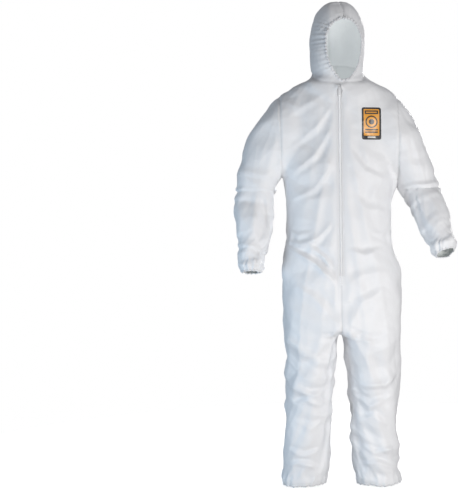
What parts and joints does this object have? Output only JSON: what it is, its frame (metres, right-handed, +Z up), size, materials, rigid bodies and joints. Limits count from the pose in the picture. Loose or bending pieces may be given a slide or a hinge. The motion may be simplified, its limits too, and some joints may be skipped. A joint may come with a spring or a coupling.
{
  "type": "chemical protective suit",
  "caption": "Hooded one-piece protective coverall of white laminate, zipped up the front, with elastic at the face, wrists, waist and ankles.",
  "frame": {"origin": "middle of the neck, where the suit rests on the wearer or on a hanger", "axes": "+Z up, the front of the suit towards -Y, +X towards the wearer's left"},
  "size_m": [0.7739, 0.2922, 1.697],
  "materials": {
    "laminate": "smooth matt white film laminated to a spun nonwoven",
    "elastic": "white covered elastic",
    "zip_tape": "white woven tape",
    "zip_plastic": "white moulded nylon",
    "badge_film": "printed film, orange with plain bars",
    "label_satin": "blank white satin"
  },
  "bodies": {
    "torso": {"front_left_panel": "laminate", "front_right_panel": "laminate", "back_left_panel": "laminate", "back_right_panel": "laminate", "left_sleeve_upper": "laminate", "right_sleeve_upper": "laminate", "waist_elastic": "elastic", "chest_badge": "badge_film", "neck_label": "label_satin", "zip_tape_left": "zip_tape", "zip_tape_right": "zip_tape", "zip_coil_left": "zip_plastic", "zip_coil_right": "zip_plastic", "zip_top_stop_left": "zip_plastic", "zip_top_stop_right": "zip_plastic", "zip_bottom_stop": "zip_plastic"},
    "hood": {"hood_left_panel": "laminate", "hood_right_panel": "laminate", "face_elastic": "elastic"},
    "slider": {"zip_slider": "zip_plastic"},
    "pull_tab": {"zip_pull_tab": "zip_plastic"},
    "left_forearm": {"left_sleeve_lower": "laminate", "left_wrist_elastic": "elastic"},
    "right_forearm": {"right_sleeve_lower": "laminate", "right_wrist_elastic": "elastic"},
    "left_thigh": {"left_thigh_front": "laminate", "left_thigh_back": "laminate"},
    "right_thigh": {"right_thigh_front": "laminate", "right_thigh_back": "laminate"},
    "left_shin": {"left_shin_front": "laminate", "left_shin_back": "laminate", "left_ankle_elastic": "elastic"},
    "right_shin": {"right_shin_front": "laminate", "right_shin_back": "laminate", "right_ankle_elastic": "elastic"}
  },
  "joints": [
    {"name": "zip_slide", "type": "slide", "parent": "torso", "child": "slider", "axis": [0, 0.04, 0.9992], "range_m": [-0.669, 0]},
    {"name": "pull_tab_swing", "type": "hinge", "parent": "slider", "child": "pull_tab", "pos_m": [0, -0.1001, -0.05279], "axis": [-1, 0, 0], "range_deg": [0, 165]},
    {"name": "hood_tilt", "type": "hinge", "parent": "torso", "child": "hood", "pos_m": [0, 0, 0], "axis": [-1, 0, 0], "range_deg": [0, 40], "deforming": ["hood_left_panel", "hood_right_panel"]},
    {"name": "left_elbow", "type": "hinge", "parent": "torso", "child": "left_forearm", "pos_m": [0.283, 0.013, -0.401], "axis": [-1, 0, 0], "range_deg": [-15, 75], "deforming": ["left_sleeve_lower"]},
    {"name": "right_elbow", "type": "hinge", "parent": "torso", "child": "right_forearm", "pos_m": [-0.303, 0.013, -0.401], "axis": [-1, 0, 0], "range_deg": [-10, 85], "deforming": ["right_sleeve_lower"]},
    {"name": "left_hip", "type": "hinge", "parent": "torso", "child": "left_thigh", "pos_m": [0.1015, -0.007, -0.919], "axis": [-1, 0, 0], "range_deg": [-15, 35], "deforming": ["left_thigh_front", "left_thigh_back"]},
    {"name": "right_hip", "type": "hinge", "parent": "torso", "child": "right_thigh", "pos_m": [-0.1015, -0.007, -0.919], "axis": [-1, 0, 0], "range_deg": [-15, 35], "deforming": ["right_thigh_front", "right_thigh_back"]},
    {"name": "left_knee", "type": "hinge", "parent": "left_thigh", "child": "left_shin", "pos_m": [0.1165, 0, -1.12], "axis": [1, 0, 0], "range_deg": [0, 60], "deforming": ["left_shin_front", "left_shin_back"]},
    {"name": "right_knee", "type": "hinge", "parent": "right_thigh", "child": "right_shin", "pos_m": [-0.1165, 0, -1.12], "axis": [1, 0, 0], "range_deg": [0, 60], "deforming": ["right_shin_front", "right_shin_back"]}
  ]
}
